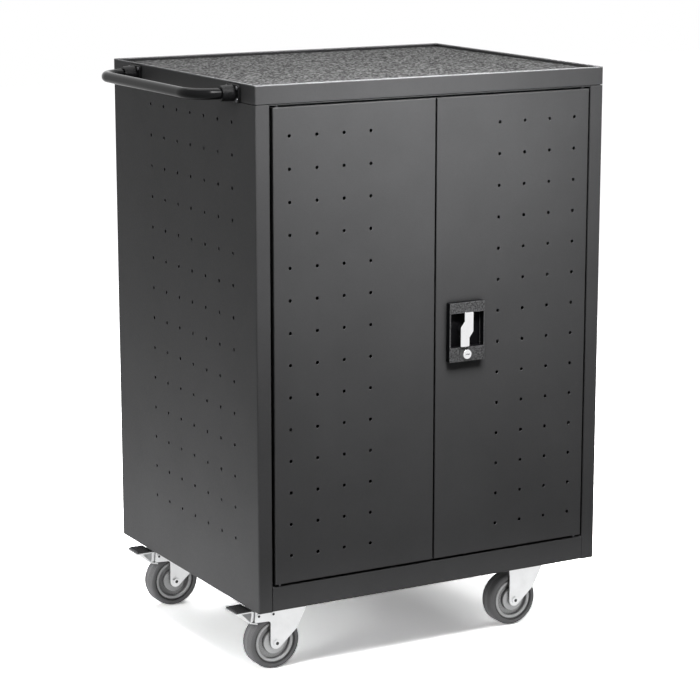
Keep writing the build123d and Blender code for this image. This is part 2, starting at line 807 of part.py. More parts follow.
with BuildPart() as lever:
    arm_length = lever_length / 2
    arm_near = lever_arm_width / 2 - lever_arm_offset
    arm_far = lever_arm_width / 2 + lever_arm_offset
    with BuildSketch(Plane.XZ.offset(-lever_back_y)) as lever_outline:
        with Locations((lever_x, lever_z)):
            Polygon(
                (-arm_near, arm_length),
                (-arm_near, lever_step_far),
                (-arm_far, lever_step_near),
                (-arm_far, -arm_length),
                (arm_near, -arm_length),
                (arm_near, -lever_step_far),
                (arm_far, -lever_step_near),
                (arm_far, arm_length),
                align=None,
            )
        fillet(lever_outline.vertices().group_by(Axis.Y)[0], lever_corner)
        fillet(lever_outline.vertices().group_by(Axis.Y)[-1], lever_corner)
    extrude(amount=lever_thickness)
    fillet(lever.faces().sort_by(Axis.Y)[0].edges(), lever_thickness / 4)
    with BuildSketch(Plane.XZ.offset(-lever_back_y)):
        with Locations((lever_x, lever_z)):
            Circle(lever_hub_radius)
    extrude(amount=-(cup_depth - lever_gap))
    with BuildSketch(Plane.XZ.offset(-lever_back_y)):
        with Locations((lever_x, lever_z)):
            Circle(shaft_radius)
    extrude(amount=-(tongue_back_y - lever_back_y))
lever.part.label = "lever"
export_step(lever.part, "parts/lever.step")

# Lock cam: pinion between the two racks, and the tongue that turns behind the left door
tooth_pitch = pi * gear_module
tooth_width = (tooth_pitch - tooth_backlash) / 2
flank_slope = tan(radians(tooth_flank_angle))
tooth_tip_width = tooth_width - 2 * tooth_addendum * flank_slope
tooth_root_width = tooth_width + 2 * tooth_dedendum * flank_slope
pinion_root = pitch_radius - tooth_dedendum
pinion_front_y = rod_y - rod_radius


def tooth_outline(base, base_width, tip, tip_width):
    """Corner points of one straight-sided tooth that stands along +X from base to tip."""
    return [(base, -base_width / 2), (tip, -tip_width / 2), (tip, tip_width / 2), (base, base_width / 2)]


with BuildPart() as lock_cam:
    with BuildSketch(Plane.XZ.offset(-pinion_front_y)):
        with Locations((lever_x, lever_z)):
            Circle(pinion_root)
            with PolarLocations(0, pinion_teeth):
                Polygon(
                    *tooth_outline(
                        pinion_root - tooth_dedendum,
                        tooth_root_width + 2 * tooth_dedendum * flank_slope,
                        pitch_radius + tooth_addendum,
                        tooth_tip_width,
                    ),
                    align=None,
                )
    extrude(amount=-2 * rod_radius)
    with BuildSketch(Plane.XZ.offset(-(rod_y + rod_radius))):
        with Locations((lever_x, lever_z)):
            Circle(pinion_root)
    extrude(amount=-(tongue_front_y - rod_y - rod_radius))
    with BuildSketch(Plane.XZ.offset(-tongue_front_y)):
        with Locations((lever_x, lever_z)):
            Circle(tongue_width / 2 + sheet)
        with Locations((lever_x, lever_z - tongue_length / 2)):
            Rectangle(tongue_width, tongue_length)
    extrude(amount=-tongue_thickness)
    with BuildSketch(Plane.XZ.offset(-pinion_front_y)):
        with Locations((lever_x, lever_z)):
            Circle(shaft_radius)
    extrude(amount=-cabinet_depth / 4, mode=Mode.SUBTRACT)
lock_cam.part.label = "lock_cam"
export_step(lock_cam.part, "parts/lock_cam.step")

# Locking rods: a rack beside the pinion and a round rod to the end of the door
rod_travel = pitch_radius * radians(lever_turn)
rack_reach = 2 * tooth_pitch


def locking_rod(direction, end_z):
    """Rod on the left of the pinion and upwards for direction 1, on its right and downwards for -1."""
    pitch_x = lever_x - direction * pitch_radius
    rod_x = lever_x - direction * rod_offset
    rack_near = lever_z - direction * (rod_travel + rack_reach)
    rack_far = lever_z + direction * rack_reach
    rack_low = min(rack_near, rack_far)
    rack_high = max(rack_near, rack_far)
    rack_length = rack_high - rack_low
    teeth = int(rack_length / tooth_pitch) + 1
    with BuildPart() as rod:
        with Locations((rod_x, rod_y, (rack_near + rack_far) / 2)):
            Box(2 * rod_radius, 2 * rod_radius, rack_length)
        phase = 0 if direction > 0 else 1
        pitch_line = Plane(
            origin=(pitch_x, rod_y - rod_radius, lever_z),
            x_dir=(direction, 0, 0),
            z_dir=(0, 1, 0),
        )
        with BuildSketch(pitch_line):
            for index in range(-teeth, teeth + 1):
                along = (index + phase / 2) * tooth_pitch
                height = lever_z - direction * along
                if rack_low + tooth_width < height < rack_high - tooth_width:
                    with Locations((0, along)):
                        Polygon(
                            *tooth_outline(
                                -tooth_dedendum,
                                tooth_root_width,
                                tooth_addendum,
                                tooth_tip_width,
                            ),
                            align=None,
                        )
        extrude(amount=2 * rod_radius)
        with Locations((rod_x, rod_y, (rack_far + end_z) / 2)):
            Cylinder(rod_radius, abs(end_z - rack_far))
        tip = rod.faces().sort_by(Axis.Z)[-1 if direction > 0 else 0]
        chamfer(tip.edges(), rod_radius / 3)
    return rod


upper_rod = locking_rod(1, door_high - rod_rest_drop)
upper_rod.part.label = "upper_rod"
export_step(upper_rod.part, "parts/upper_rod.step")

lower_rod = locking_rod(-1, door_low + rod_rest_drop)
lower_rod.part.label = "lower_rod"
export_step(lower_rod.part, "parts/lower_rod.step")

# Rod guides: four drilled blocks on the inside of the right door's face
guide_front_y = door_face_y + sheet
guide_depth = door_depth - 2 * sheet
rod_spots = [
    (upper_rod_x, door_high - 3 * guide_height),
    (upper_rod_x, lever_z + plate_height / 2 + guide_height),
    (lower_rod_x, lever_z - plate_height / 2 - guide_height),
    (lower_rod_x, door_low + 3 * guide_height),
]

with BuildPart() as rod_guides:
    for rod_x, guide_z in rod_spots:
        with Locations((rod_x, guide_front_y + guide_depth / 2, guide_z)):
            Box(guide_width, guide_depth, guide_height)
        with Locations((rod_x, rod_y, guide_z)):
            Cylinder(rod_radius + running_gap, guide_height, mode=Mode.SUBTRACT)
rod_guides.part.label = "rod_guides"
export_step(rod_guides.part, "parts/rod_guides.step")

# Key cylinder of the front lock
with BuildPart() as key_cylinder:
    with BuildSketch(Plane.XZ.offset(-(plate_face_y - key_proud))):
        with Locations((plate_x, key_z)):
            Circle(key_radius)
    extrude(amount=-(key_proud + plate_proud - key_shoulder))
    fillet(key_cylinder.faces().sort_by(Axis.Y)[0].edges(), key_proud / 2)
    with BuildSketch(Plane.XZ.offset(-(plate_face_y - key_proud))):
        with Locations((plate_x, key_z)):
            Circle(key_barrel_radius)
    extrude(amount=-key_length)
    with BuildSketch(Plane.XZ.offset(-(plate_face_y - key_proud))):
        with Locations((plate_x, key_z)):
            Rectangle(keyway_length, keyway_width)
    extrude(amount=-key_length / 2, mode=Mode.SUBTRACT)
key_cylinder.part.label = "key_cylinder"
export_step(key_cylinder.part, "parts/key_cylinder.step")

# Rear lock: cylinder with a tongue that turns behind the rear stile
rear_tongue_y = rear_face_y - door_depth - tongue_gap

with BuildPart() as rear_lock_cylinder:
    with BuildSketch(Plane.XZ.offset(-(rear_face_y + rear_lock_proud))):
        with Locations((rear_lock_x, rear_lock_z)):
            Circle(rear_lock_radius)
    extrude(amount=rear_lock_proud + door_depth + tongue_gap)
    fillet(rear_lock_cylinder.faces().sort_by(Axis.Y)[-1].edges(), rear_lock_proud / 3)
    with BuildSketch(Plane.XZ.offset(-rear_tongue_y)):
        with Locations((rear_lock_x, rear_lock_z)):
            Circle(rear_tongue_width / 2)
        with Locations((rear_lock_x, rear_lock_z - rear_tongue_length / 2)):
            Rectangle(rear_tongue_width, rear_tongue_length)
    extrude(amount=tongue_thickness)
    with BuildSketch(Plane.XZ.offset(-(rear_face_y + rear_lock_proud))):
        with Locations((rear_lock_x, rear_lock_z)):
            Rectangle(keyway_width, keyway_length)
    extrude(amount=key_length / 2, mode=Mode.SUBTRACT)
rear_lock_cylinder.part.label = "rear_lock_cylinder"
export_step(rear_lock_cylinder.part, "parts/rear_lock_cylinder.step")

# Casters: fixed plates with their races, kingpins and bolts
plate_low = base_z - caster_plate_thickness
race_low = plate_low - race_height
crown_high = race_low - crown_gap
crown_low = crown_high - crown_thickness
spots = list(caster_spots.values())

with BuildPart() as caster_plates:
    with BuildSketch(Plane.XY.offset(plate_low)):
        with Locations(*spots):
            RectangleRounded(caster_plate_length, caster_plate_width, 2 * bend_radius)
    extrude(amount=caster_plate_thickness)
    with BuildSketch(Plane.XY.offset(race_low)):
        with Locations(*spots):
            Circle(race_radius)
    extrude(amount=race_height)
    with BuildSketch(Plane.XY.offset(race_low)):
        with Locations(*spots):
            Circle(kingpin_radius)
            with GridLocations(bolt_spread_x, bolt_spread_y, 2, 2):
                Circle(bolt_radius)
    extrude(amount=race_height + caster_plate_thickness, mode=Mode.SUBTRACT)
caster_plates.part.label = "caster_plates"
export_step(caster_plates.part, "parts/caster_plates.step")

with BuildPart() as kingpins:
    with BuildSketch(Plane.XY.offset(crown_low - crown_gap)):
        with Locations(*spots):
            Circle(kingpin_radius)
    extrude(amount=base_z - crown_low + crown_gap)
    with BuildSketch(Plane.XY.offset(crown_low - crown_gap)):
        with Locations(*spots):
            Circle(kingpin_head_radius)
    extrude(amount=-kingpin_head_height)
kingpins.part.label = "kingpins"
export_step(kingpins.part, "parts/kingpins.step")

with BuildPart() as caster_bolts:
    with BuildSketch(Plane.XY.offset(plate_low)):
        with Locations(*spots):
            with GridLocations(bolt_spread_x, bolt_spread_y, 2, 2):
                Circle(bolt_radius)
    extrude(amount=caster_plate_thickness + base_sheet + bolt_head_height)
    with BuildSketch(Plane.XY.offset(plate_low - bolt_head_height)):
        with Locations(*spots):
            with GridLocations(bolt_spread_x, bolt_spread_y, 2, 2):
                RegularPolygon(bolt_head_radius, 6)
    extrude(amount=bolt_head_height)
    with BuildSketch(Plane.XY.offset(base_z + base_sheet)):
        with Locations(*spots):
            with GridLocations(bolt_spread_x, bolt_spread_y, 2, 2):
                RegularPolygon(bolt_head_radius, 6)
    extrude(amount=bolt_head_height)
caster_bolts.part.label = "caster_bolts"
export_step(caster_bolts.part, "parts/caster_bolts.step")

# Casters: swivelling forks, axles, wheels and brake pedals; heights called rise are above the axle
fork_inner = wheel_width / 2 + wheel_side_gap
fork_outer = fork_inner + fork_thickness
axle_z = wheel_radius
crown_rise = crown_high - axle_z
nose_rise = crown_rise - fork_nose_drop
arm_low = crown_rise - arm_drop
pivot_rise = crown_rise - pedal_pivot_drop
pedal_top = crown_rise - pedal_top_drop
cheek_half = fork_inner - pedal_cheek_gap
nose_x = caster_trail + fork_outer


def fork(spot, braked):
    """Channel fork whose legs narrow to the axle; a braked one has arms that reach back to the pedal."""
    swivel_x, swivel_y = spot
    axle_x = swivel_x - caster_trail
    plane = Plane(origin=(axle_x, swivel_y + fork_outer, axle_z), x_dir=(1, 0, 0), z_dir=(0, -1, 0))
    shoulder = (caster_trail + fork_thickness, shoulder_rise)
    toe_angle = atan2(shoulder[1], shoulder[0]) - acos(fork_toe_radius / hypot(*shoulder))
    toe = (fork_toe_radius * cos(toe_angle), fork_toe_radius * sin(toe_angle))
    with BuildPart() as channel:
        with BuildSketch(plane):
            with BuildLine():
                if braked:
                    FilletPolyline(
                        (-fork_toe_radius, 0),
                        (-fork_toe_radius, arm_low),
                        (-arm_reach, arm_low + arm_rise),
                        radius=arm_inner_radius,
                    )
                    Polyline(
                        (-arm_reach, arm_low + arm_rise),
                        (-arm_reach + fork_thickness, crown_rise),
                        (nose_x, crown_rise),
                    )
                else:
                    Polyline((-fork_toe_radius, 0), (-fork_toe_radius, crown_rise), (nose_x, crown_rise))
                Polyline((nose_x, crown_rise), (nose_x - fork_thickness, nose_rise), shoulder, toe, (0, 0))
                Line((0, 0), (-fork_toe_radius, 0))
            make_face()
            Circle(fork_toe_radius)
        extrude(amount=2 * fork_outer)
        with Locations((axle_x, swivel_y, crown_low)):
            Box(
                4 * nose_x,
                2 * fork_inner,
                2 * crown_rise,
                align=(Align.CENTER, Align.CENTER, Align.MAX),
                mode=Mode.SUBTRACT,
            )
        with Locations((axle_x - fork_toe_radius - fork_thickness, swivel_y, crown_high)):
            Box(
                2 * arm_reach,
                2 * fork_inner,
                2 * crown_rise,
                align=(Align.MAX, Align.CENTER, Align.CENTER),
                mode=Mode.SUBTRACT,
            )
        top_edges = channel.edges().filter_by(Axis.X).group_by(Axis.Z)[-1].sort_by(Axis.Y)
        fillet([top_edges[0], top_edges[-1]], fork_bend_radius)
        with Locations((swivel_x, swivel_y, crown_high)):
            Cylinder(kingpin_radius + running_gap, 4 * crown_thickness, mode=Mode.SUBTRACT)
        with Locations(Location((axle_x, swivel_y, axle_z), (90, 0, 0))):
            Cylinder(axle_radius, 4 * fork_outer, mode=Mode.SUBTRACT)
        if braked:
            for pin_x in (axle_x - pedal_pivot_x, axle_x - stop_pin_x):
                with Locations(Location((pin_x, swivel_y, axle_z + pivot_rise), (90, 0, 0))):
                    Cylinder(pedal_pin_radius, 2 * fork_outer + 2 * rivet_head_height)
                for head_y in (fork_outer + rivet_head_height / 2, -fork_outer - rivet_head_height / 2):
                    with Locations(Location((pin_x, swivel_y + head_y, axle_z + pivot_rise), (90, 0, 0))):
                        Cylinder(rivet_head_radius, rivet_head_height)
    return channel


def brake_pedal(spot):
    """Pedal on the fork's rear pin: top plate, front plate and brace, brake shoe, and two cheeks."""
    swivel_x, swivel_y = spot
    axle_x = swivel_x - caster_trail
    shoe_radius = wheel_radius + shoe_gap + pedal_plate / 2
    shoe = (-shoe_radius * sin(radians(shoe_angle)), shoe_radius * cos(radians(shoe_angle)))
    knee = (-pedal_knee_x, pivot_rise - pedal_knee_drop)
    root = (-pedal_root_x, pedal_top - pedal_plate / 2)
    end = (-pedal_reach, pedal_top - pedal_plate / 2)
    with BuildPart() as pedal:
        side = Plane(origin=(axle_x, swivel_y + pedal_width / 2, axle_z), x_dir=(1, 0, 0), z_dir=(0, -1, 0))
        with BuildSketch(side):
            with BuildLine():
                FilletPolyline(end, root, knee, radius=pedal_bend_radius)
            trace(line_width=pedal_plate)
        extrude(amount=pedal_width)
        with BuildSketch(side):
            with BuildLine():
                Polyline((-pedal_brace_x, pedal_top - pedal_plate / 2), knee)
            trace(line_width=pedal_plate)
        extrude(amount=pedal_width)
        inside = Plane(origin=(axle_x, swivel_y + cheek_half, axle_z), x_dir=(1, 0, 0), z_dir=(0, -1, 0))
        with BuildSketch(inside):
            with BuildLine():
                Polyline(knee, shoe)
            trace(line_width=pedal_plate)
        extrude(amount=2 * cheek_half)
        for cheek_y in (cheek_half, pedal_plate - cheek_half):
            cheek = Plane(origin=(axle_x, swivel_y + cheek_y, axle_z), x_dir=(1, 0, 0), z_dir=(0, -1, 0))
            with BuildSketch(cheek):
                Polygon(
                    (-pedal_pivot_x, pivot_rise + cheek_radius),
                    root,
                    knee,
                    (-pedal_pivot_x, pivot_rise - cheek_radius),
                    align=None,
                )
                with Locations((-pedal_pivot_x, pivot_rise)):
                    Circle(cheek_radius)
            extrude(amount=pedal_plate)
        with Locations(Location((axle_x - pedal_pivot_x, swivel_y, axle_z + pivot_rise), (90, 0, 0))):
            Cylinder(pedal_pin_radius + running_gap, 2 * fork_outer, mode=Mode.SUBTRACT)
    return pedal


def brake_pad(spot):
    """Dark tread pad on the pedal's top plate, set back from the plate's bare edge."""
    swivel_x, swivel_y = spot
    axle_x = swivel_x - caster_trail
    pad_length = pedal_reach - pedal_root_x - 2 * pad_setback
    pad_x = axle_x - (pedal_reach + pedal_root_x) / 2
    with BuildPart() as pad:
        with Locations((pad_x, swivel_y, axle_z + pedal_top)):
            Box(pad_length, pedal_width, pedal_pad_thickness, align=(Align.CENTER, Align.CENTER, Align.MIN))
        fillet(pad.faces().sort_by(Axis.Z)[-1].edges(), pedal_pad_thickness / 3)
        with Locations((pad_x, swivel_y, axle_z + pedal_top + pedal_pad_thickness)):
            with GridLocations(pad_length / pad_grooves, 1, pad_grooves, 1):
                Box(pad_groove_width, 2 * pedal_width, 2 * pad_groove_depth, mode=Mode.SUBTRACT)
    return pad


def wheel_axle(spot):
    """Axle bolt across the fork, with a hexagonal head at both ends."""
    swivel_x, swivel_y = spot
    axle_x = swivel_x - caster_trail
    with BuildPart() as axle:
        with Locations(Location((axle_x, swivel_y, axle_z), (90, 0, 0))):
            Cylinder(axle_radius, 2 * fork_outer)
        for head_y, direction in ((swivel_y - fork_outer, -1), (swivel_y + fork_outer, 1)):
            with BuildSketch(Plane(origin=(axle_x, head_y, axle_z), z_dir=(0, direction, 0))):
                RegularPolygon(axle_head_radius, 6)
            extrude(amount=axle_head_height)
    return axle


def wheel_plane(spot):
    """Plane through the axle: local X across the wheel, local Y the radius."""
    swivel_x, swivel_y = spot
    return Plane(origin=(swivel_x - caster_trail, swivel_y, axle_z), x_dir=(0, 1, 0), z_dir=(1, 0, 0))


def wheel_core(spot):
    """Wheel centre: collar and boss on the axle, thin web, and the lip that carries the tyre."""
    plane = wheel_plane(spot)
    with BuildPart() as core:
        with BuildSketch(plane) as profile:
            with Locations((0, core_radius - core_lip / 2)):
                Rectangle(core_lip_width, core_lip)
            fillet(profile.vertices(), core_bead_radius)
            for width, low, high in (
                (core_web_width, boss_collar_radius, core_radius - core_lip),
                (boss_width, boss_collar_radius, boss_radius),
                (2 * (fork_inner - axle_gap), axle_radius + running_gap, boss_collar_radius),
            ):
                with Locations((0, (low + high) / 2)):
                    Rectangle(width, high - low)
        revolve(axis=Axis(plane.origin, plane.x_dir))
    return core


def tyre(spot):
    """Solid tyre with a rounded tread and a groove beside the lip of the wheel's centre."""
    plane = wheel_plane(spot)
    with BuildPart() as ring:
        with BuildSketch(plane) as profile:
            with Locations((0, (groove_radius + wheel_radius) / 2)):
                Rectangle(wheel_width, wheel_radius - groove_radius)
            fillet(profile.vertices().group_by(Axis.Y)[-1], tread_radius)
            with Locations((0, (core_radius + groove_radius) / 2)):
                Rectangle(groove_width, groove_radius - core_radius)
        revolve(axis=Axis(plane.origin, plane.x_dir))
    return ring


for corner, spot in caster_spots.items():
    braked = corner in ("fl", "rl")

    caster_fork = fork(spot, braked)
    caster_fork.part.label = corner + "_fork"
    export_step(caster_fork.part, f"parts/{corner}_fork.step")

    caster_axle = wheel_axle(spot)
    caster_axle.part.label = corner + "_axle"
    export_step(caster_axle.part, f"parts/{corner}_axle.step")

    caster_core = wheel_core(spot)
    caster_core.part.label = corner + "_wheel_core"
    export_step(caster_core.part, f"parts/{corner}_wheel_core.step")

    caster_tyre = tyre(spot)
    caster_tyre.part.label = corner + "_tyre"
    export_step(caster_tyre.part, f"parts/{corner}_tyre.step")

    if braked:
        pedal = brake_pedal(spot)
        pedal.part.label = corner + "_brake_pedal"
        export_step(pedal.part, f"parts/{corner}_brake_pedal.step")

        pad = brake_pad(spot)
        pad.part.label = corner + "_brake_pad"
        export_step(pad.part, f"parts/{corner}_brake_pad.step")

# Power strips on the back of the partition, one for each level, with a pocket for the rocker switch
strip_face_y = partition_y + sheet + strip_depth
strip_zs = [z - strip_drop for z in cable_slot_zs]
outlet_x = strip_outlet_shift
switch_x = -strip_length / 2 + strip_switch_inset

with BuildPart() as power_strips:
    for strip_z in strip_zs:
        with Locations((0, partition_y + sheet + strip_depth / 2, strip_z)):
            Box(strip_length, strip_depth, strip_height)
        with Locations((switch_x, strip_face_y - switch_pocket / 2, strip_z)):
            Box(
                switch_width + 2 * switch_side_gap,
                switch_pocket,
                switch_height + 2 * switch_side_gap,
                mode=Mode.SUBTRACT,
            )
    with BuildSketch(Plane.XZ.offset(-strip_face_y)):
        with Locations(*[(outlet_x, z) for z in strip_zs]):
            with GridLocations(outlet_spacing, 1, slots_per_level, 1):
                with GridLocations(outlet_slot_spread, 1, 2, 1):
                    Rectangle(outlet_slot_width, outlet_slot_height)
                with Locations((0, -outlet_ground_drop)):
                    Circle(outlet_ground_radius)
    extrude(amount=outlet_depth, mode=Mode.SUBTRACT)
power_strips.part.label = "power_strips"
export_step(power_strips.part, "parts/power_strips.step")


def rocker_switch(strip_z):
    """Rocker with a shallow V face, tipped to one side about its middle."""
    plane = Plane(
        origin=(switch_x + switch_width / 2, strip_face_y - rocker_pivot_depth, strip_z),
        x_dir=(0, 0, 1),
        z_dir=(-1, 0, 0),
    )
    half = switch_height / 2
    with BuildPart() as rocker:
        with BuildSketch(plane):
            with Locations(Location((0, 0, 0), (0, 0, switch_tilt))):
                Polygon(
                    (-half + switch_side_gap, -rocker_depth),
                    (half - switch_side_gap, -rocker_depth),
                    (half, rocker_crest),
                    (0, rocker_valley),
                    (-half, rocker_crest),
                    align=None,
                )
        extrude(amount=switch_width)
    return rocker


upper_switch = rocker_switch(strip_zs[1])
upper_switch.part.label = "upper_switch"
export_step(upper_switch.part, "parts/upper_switch.step")

lower_switch = rocker_switch(strip_zs[0])
lower_switch.part.label = "lower_switch"
export_step(lower_switch.part, "parts/lower_switch.step")

# Power inlet in the rear bottom rail: flange outside, body inside, three pins in the mouth
with BuildPart() as power_inlet:
    with Locations((inlet_x, back + inlet_flange_thickness / 2, inlet_z)):
        Box(inlet_width + 2 * inlet_flange, inlet_flange_thickness, inlet_height + 2 * inlet_flange)
    with Locations((inlet_x, back - inlet_depth / 2, inlet_z)):
        Box(inlet_width, inlet_depth, inlet_height)
    with Locations((inlet_x, back + inlet_flange_thickness - inlet_mouth_depth / 2, inlet_z)):
        Box(inlet_mouth_width, inlet_mouth_depth, inlet_mouth_height, mode=Mode.SUBTRACT)
    pin_y = back + inlet_flange_thickness - inlet_mouth_depth + inlet_pin_length / 2
    with Locations(
        (inlet_x - inlet_pin_spread, pin_y, inlet_z - inlet_pin_height / 2),
        (inlet_x, pin_y, inlet_z + inlet_pin_height / 2),
        (inlet_x + inlet_pin_spread, pin_y, inlet_z - inlet_pin_height / 2),
    ):
        Box(inlet_pin_width, inlet_pin_length, inlet_pin_height)
power_inlet.part.label = "power_inlet"
export_step(power_inlet.part, "parts/power_inlet.step")

# Fan behind the rear top panel: square frame with a motor mount, rotor on a stub, ring guard outside
fan_back_y = back - sheet
fan_front_y = fan_back_y - fan_depth
fan_z = rear_panel_z


def across_fan(y, angle=0):
    """Location on the fan's axis at depth y, with local Z along the axis, turned by angle about it."""
    return Location((0, y, fan_z), (0, angle, 0)) * Location((0, 0, 0), (90, 0, 0))


with BuildPart() as fan_frame:
    with Locations((0, fan_back_y - fan_depth / 2, fan_z)):
        Box(fan_size, fan_depth, fan_size)
    with Locations(across_fan(fan_back_y - fan_depth / 2)):
        Cylinder(fan_bore_radius, fan_depth, mode=Mode.SUBTRACT)
    with Locations(across_fan(fan_front_y + fan_motor_height / 2)):
        Cylinder(fan_motor_radius, fan_motor_height)
    with Locations((0, fan_front_y + fan_motor_height / 2, fan_z)):
        Box(2 * fan_bore_radius + fan_strut, fan_motor_height, fan_strut)
        Box(fan_strut, fan_motor_height, 2 * fan_bore_radius + fan_strut)
    with Locations(across_fan(fan_front_y + fan_motor_height + fan_stub_length / 2)):
        Cylinder(fan_stub_radius, fan_stub_length)
    with BuildSketch(Plane.XZ.offset(-fan_back_y)):
        with Locations((0, fan_z)):
            with GridLocations(fan_bolt_spread, fan_bolt_spread, 2, 2):
                Circle(fan_bolt_radius)
    extrude(amount=fan_depth, mode=Mode.SUBTRACT)
fan_frame.part.label = "fan_frame"
export_step(fan_frame.part, "parts/fan_frame.step")

rotor_front_y = fan_front_y + fan_motor_height + fan_hub_gap
rotor_back_y = fan_back_y - fan_hub_gap
rotor_middle_y = (rotor_front_y + rotor_back_y) / 2
blade_length = fan_blade_radius - fan_hub_radius + fan_blade_thickness

with BuildPart() as fan_rotor:
    with Locations(across_fan(rotor_middle_y)):
        Cylinder(fan_hub_radius, rotor_back_y - rotor_front_y)
    for index in range(fan_blades):
        turn = Location((0, rotor_middle_y, fan_z), (0, 360 * index / fan_blades, 0))
        reach = Location((fan_blade_radius - blade_length / 2, 0, 0), (fan_blade_pitch, 0, 0))
        with Locations(turn * reach):
            Box(blade_length, fan_blade_thickness, fan_blade_width)
    with Locations(across_fan(rotor_front_y + fan_stub_length / 2 - fan_hub_gap)):
        Cylinder(fan_stub_radius + running_gap, fan_stub_length + fan_hub_gap, mode=Mode.SUBTRACT)
fan_rotor.part.label = "fan_rotor"
export_step(fan_rotor.part, "parts/fan_rotor.step")

brace_length = hypot(fan_bolt_spread, fan_bolt_spread)

with BuildPart() as fan_guard:
    with BuildSketch(Plane.XZ.offset(-back)):
        with Locations((0, fan_z)):
            for ring in range(guard_rings, 0, -1):
                Circle(guard_ring_spacing * ring + guard_bar / 2)
                Circle(guard_ring_spacing * ring - guard_bar / 2, mode=Mode.SUBTRACT)
            Rectangle(brace_length, guard_bar, rotation=45)
            Rectangle(brace_length, guard_bar, rotation=-45)
            with GridLocations(fan_bolt_spread, fan_bolt_spread, 2, 2):
                Circle(guard_ear_radius)
                Circle(fan_bolt_radius, mode=Mode.SUBTRACT)
    extrude(amount=-guard_bar)
fan_guard.part.label = "fan_guard"
export_step(fan_guard.part, "parts/fan_guard.step")

screw_head_y = back + guard_bar

with BuildPart() as fan_screws:
    with BuildSketch(Plane.XZ.offset(-screw_head_y)):
        with Locations((0, fan_z)):
            with GridLocations(fan_bolt_spread, fan_bolt_spread, 2, 2):
                Circle(fan_bolt_radius)
    extrude(amount=screw_head_y - fan_front_y)
    with BuildSketch(Plane.XZ.offset(-screw_head_y)):
        with Locations((0, fan_z)):
            with GridLocations(fan_bolt_spread, fan_bolt_spread, 2, 2):
                Circle(guard_ear_radius)
    extrude(amount=-fan_screw_head)
fan_screws.part.label = "fan_screws"
export_step(fan_screws.part, "parts/fan_screws.step")
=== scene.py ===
"""Laptop charging cart: materials, small detail pieces, floor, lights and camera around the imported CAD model.
Everything is in metres, in the model's own frame: origin on the floor under the cabinet, +Z up."""

import json
import math

import bmesh
import bpy
from mathutils import Matrix, Vector


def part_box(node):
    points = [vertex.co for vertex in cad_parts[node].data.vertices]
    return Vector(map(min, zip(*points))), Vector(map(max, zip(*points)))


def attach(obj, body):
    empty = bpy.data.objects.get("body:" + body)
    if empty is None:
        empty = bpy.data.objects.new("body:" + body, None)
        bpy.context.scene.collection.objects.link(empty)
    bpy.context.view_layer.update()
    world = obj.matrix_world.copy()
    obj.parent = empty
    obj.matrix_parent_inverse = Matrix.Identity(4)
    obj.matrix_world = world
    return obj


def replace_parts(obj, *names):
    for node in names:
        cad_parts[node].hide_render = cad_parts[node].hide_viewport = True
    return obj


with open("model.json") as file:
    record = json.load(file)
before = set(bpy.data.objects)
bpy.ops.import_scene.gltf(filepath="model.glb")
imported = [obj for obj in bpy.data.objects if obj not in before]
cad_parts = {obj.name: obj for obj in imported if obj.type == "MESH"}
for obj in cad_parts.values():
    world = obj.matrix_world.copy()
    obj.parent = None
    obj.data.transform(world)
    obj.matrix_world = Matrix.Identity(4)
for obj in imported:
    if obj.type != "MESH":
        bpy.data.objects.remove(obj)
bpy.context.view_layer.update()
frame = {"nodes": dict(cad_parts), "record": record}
nodes = frame["nodes"]
scene = bpy.context.scene

millimetre = 0.001
casters = ("fl", "fr", "rl", "rr")
braked_casters = ("fl", "rl")


# Materials


def rgba(colour):
    """Colour, or grey of one number, with full alpha."""
    return (*colour, 1.0) if isinstance(colour, tuple) else (colour, colour, colour, 1.0)


def scaled(colour, factor):
    """Colour with every channel times factor."""
    return tuple(factor * channel for channel in colour)


class Tree:
    """Adds nodes to one node tree. An input that is a socket is linked, and any other is set as a value."""

    def __init__(self, tree):
        self.tree = tree

    def add(self, kind, settings=None, **inputs):
        node = self.tree.nodes.new(kind)
        for key, value in (settings or {}).items():
            setattr(node, key, value)
        for key, value in inputs.items():
            self.put(node, key.replace("_", " "), value)
        return node

    def put(self, node, key, value):
        if isinstance(value, bpy.types.NodeSocket):
            self.tree.links.new(value, node.inputs[key])
        else:
            node.inputs[key].default_value = value

    def combine(self, operation, first, second):
        """Result of a Math node."""
        node = self.add("ShaderNodeMath", {"operation": operation})
        self.put(node, 0, first)
        self.put(node, 1, second)
        return node.outputs["Value"]

    def rescale(self, value, from_low=0.0, from_high=1.0, to_low=0.0, to_high=1.0, curve="LINEAR"):
        """Number that goes from to_low to to_high as value goes from from_low to from_high."""
        node = self.add(
            "ShaderNodeMapRange",
            {"interpolation_type": curve},
            Value=value,
            From_Min=from_low,
            From_Max=from_high,
            To_Min=to_low,
            To_Max=to_high,
        )
        return node.outputs["Result"]


